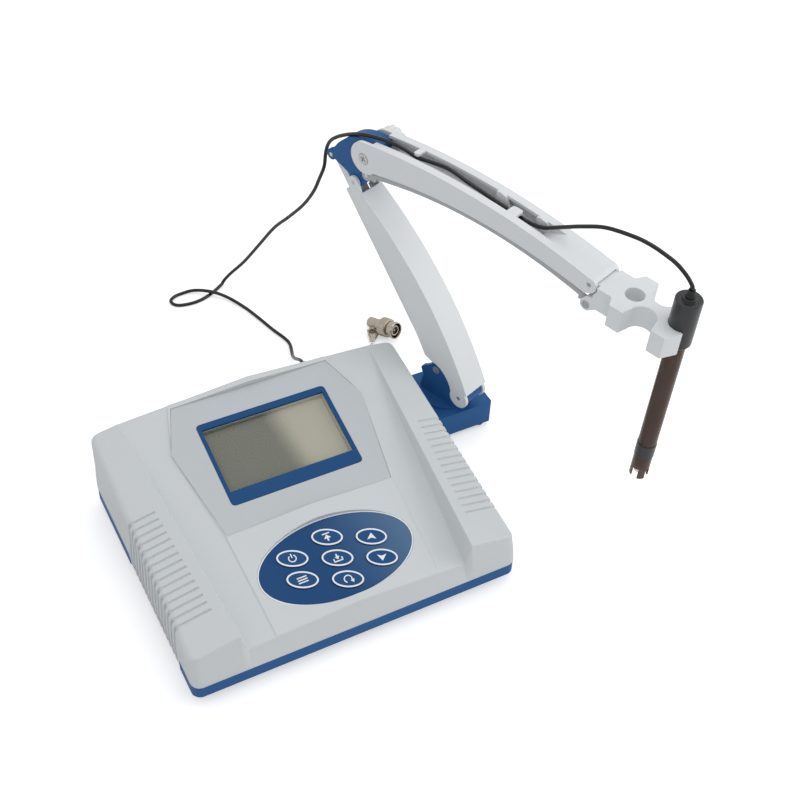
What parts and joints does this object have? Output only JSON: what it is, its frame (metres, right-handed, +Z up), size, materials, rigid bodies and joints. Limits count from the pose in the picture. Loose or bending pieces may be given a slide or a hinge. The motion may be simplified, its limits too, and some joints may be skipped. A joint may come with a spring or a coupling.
{
  "type": "ph meter",
  "caption": "Bench pH meter: wedge case with display and oval keypad, and a swivelling parallel-link arm that carries a combined glass electrode.",
  "frame": {"origin": "on the table under the middle of the case's front edge", "axes": "+X to the right seen from the front, +Y to the rear, +Z up; the row rests on its feet at z = 0"},
  "size_m": [0.3258, 0.377, 0.2354],
  "materials": {
    "shell": "fine satin moulded",
    "blue": "satin moulded",
    "overlay": "printed film, silver grey",
    "lens": "clear window",
    "lcd": "unlit liquid crystal display",
    "board": "circuit board",
    "black": "satin",
    "dark_grey": "fine grained",
    "steel": "zinc plated",
    "nickel": "nickel plated",
    "red": "moulded",
    "rubber": "soft",
    "smoke": "translucent smoky",
    "glass": "clear",
    "link_grey": "satin moulded"
  },
  "bodies": {
    "case": {"bottom_shell": "blue", "top_shell": "shell", "rubber_feet": "rubber", "case_screws": "steel", "overlay_panel": "overlay", "window_frame": "blue", "display_lens": "lens", "lcd_module": "lcd", "keypad_sheet": "blue", "keypad_board": "board", "main_board": "board", "board_components": "black", "board_screws": "steel", "rear_panel": "dark_grey", "electrode_socket": "nickel", "temperature_socket": "black", "reference_post": "red", "power_jack": "black", "electrode_plug": "nickel", "shorting_plug": "nickel", "plug_chain": "nickel", "base_block": "blue", "base_screws": "steel", "cable_tail": "rubber"},
    "key_power": {"key_power": "blue"},
    "key_mode": {"key_mode": "blue"},
    "key_maximum": {"key_maximum": "blue"},
    "key_store": {"key_store": "blue"},
    "key_reset": {"key_reset": "blue"},
    "key_up": {"key_up": "blue"},
    "key_down": {"key_down": "blue"},
    "turret": {"turret": "blue", "turret_pin": "steel", "swivel_washer": "steel"},
    "lower_arm": {"lower_arm": "shell", "lower_arm_pins": "steel", "balance_springs": "steel"},
    "lower_link": {"lower_link": "shell"},
    "elbow": {"elbow_block": "blue", "elbow_pins": "steel", "elbow_bolt": "steel", "cable_drop": "rubber"},
    "upper_arm": {"upper_arm": "shell", "upper_arm_pin": "steel", "cable_run": "rubber"},
    "upper_link": {"upper_link": "link_grey"},
    "tension_knob": {"tension_knob": "shell"},
    "holder": {"electrode_holder": "shell", "holder_pin": "steel"},
    "electrode": {"electrode_cap": "black", "strain_relief": "rubber", "electrode_shaft": "smoke", "electrode_ring": "black", "electrode_guard": "smoke", "inner_stem": "glass", "sensing_bulb": "glass", "cable_lead": "rubber"}
  },
  "joints": [
    {"name": "arm_swivel", "type": "hinge", "parent": "case", "child": "turret", "pos_m": [0.139, 0.152, 0.024], "axis": [0, 0, 1], "range_deg": [-20, 70]},
    {"name": "shoulder", "type": "hinge", "parent": "turret", "child": "lower_arm", "pos_m": [0.14634, 0.13222, 0.0389], "axis": [0.9376, 0.3478, 0], "range_deg": [-8, 40], "deforming": ["balance_springs", "cable_drop"]},
    {"name": "lower_link_pivot", "type": "hinge", "parent": "turret", "child": "lower_link", "pos_m": [0.13823, 0.15406, 0.0491], "axis": [0.9376, 0.3478, 0], "range_deg": [-8, 40]},
    {"name": "elbow_level", "type": "hinge", "parent": "lower_arm", "child": "elbow", "pos_m": [0.1103, 0.22939, 0.17036], "axis": [0.9376, 0.3478, 0], "range_deg": [-40, 8]},
    {"name": "elbow_bend", "type": "hinge", "parent": "elbow", "child": "upper_arm", "pos_m": [0.11374, 0.2201, 0.19466], "axis": [-0.9376, -0.3478, 0], "range_deg": [-10, 31], "deforming": ["cable_lead"]},
    {"name": "upper_link_pivot", "type": "hinge", "parent": "elbow", "child": "upper_link", "pos_m": [0.11385, 0.21982, 0.18016], "axis": [-0.9376, -0.3478, 0], "range_deg": [-10, 31]},
    {"name": "holder_level", "type": "hinge", "parent": "upper_arm", "child": "holder", "pos_m": [0.17748, 0.04824, 0.19466], "axis": [-0.9376, -0.3478, 0], "range_deg": [-31, 10]},
    {"name": "knob_turn", "type": "hinge", "parent": "upper_arm", "child": "tension_knob", "pos_m": [0.1278, 0.22532, 0.19466], "axis": [0.9376, 0.3478, 0], "range_deg": [-180, 180]},
    {"name": "electrode_height", "type": "slide", "parent": "holder", "child": "electrode", "axis": [0.0166, -0.0448, 0.9989], "range_m": [-0.006, 0.02]},
    {"name": "key_power_press", "type": "slide", "parent": "case", "child": "key_power", "axis": [0, 0.2227, -0.9749], "range_m": [0, 0.0004]},
    {"name": "key_mode_press", "type": "slide", "parent": "case", "child": "key_mode", "axis": [0, 0.2227, -0.9749], "range_m": [0, 0.0004]},
    {"name": "key_maximum_press", "type": "slide", "parent": "case", "child": "key_maximum", "axis": [0, 0.2227, -0.9749], "range_m": [0, 0.0004]},
    {"name": "key_store_press", "type": "slide", "parent": "case", "child": "key_store", "axis": [0, 0.2227, -0.9749], "range_m": [0, 0.0004]},
    {"name": "key_reset_press", "type": "slide", "parent": "case", "child": "key_reset", "axis": [0, 0.2227, -0.9749], "range_m": [0, 0.0004]},
    {"name": "key_up_press", "type": "slide", "parent": "case", "child": "key_up", "axis": [0, 0.2227, -0.9749], "range_m": [0, 0.0004]},
    {"name": "key_down_press", "type": "slide", "parent": "case", "child": "key_down", "axis": [0, 0.2227, -0.9749], "range_m": [0, 0.0004]}
  ],
  "couplings": [
    {"joint": "lower_link_pivot", "follows": "shoulder", "ratio": 1},
    {"joint": "elbow_level", "follows": "shoulder", "ratio": -1},
    {"joint": "upper_link_pivot", "follows": "elbow_bend", "ratio": 1},
    {"joint": "holder_level", "follows": "elbow_bend", "ratio": -1}
  ]
}
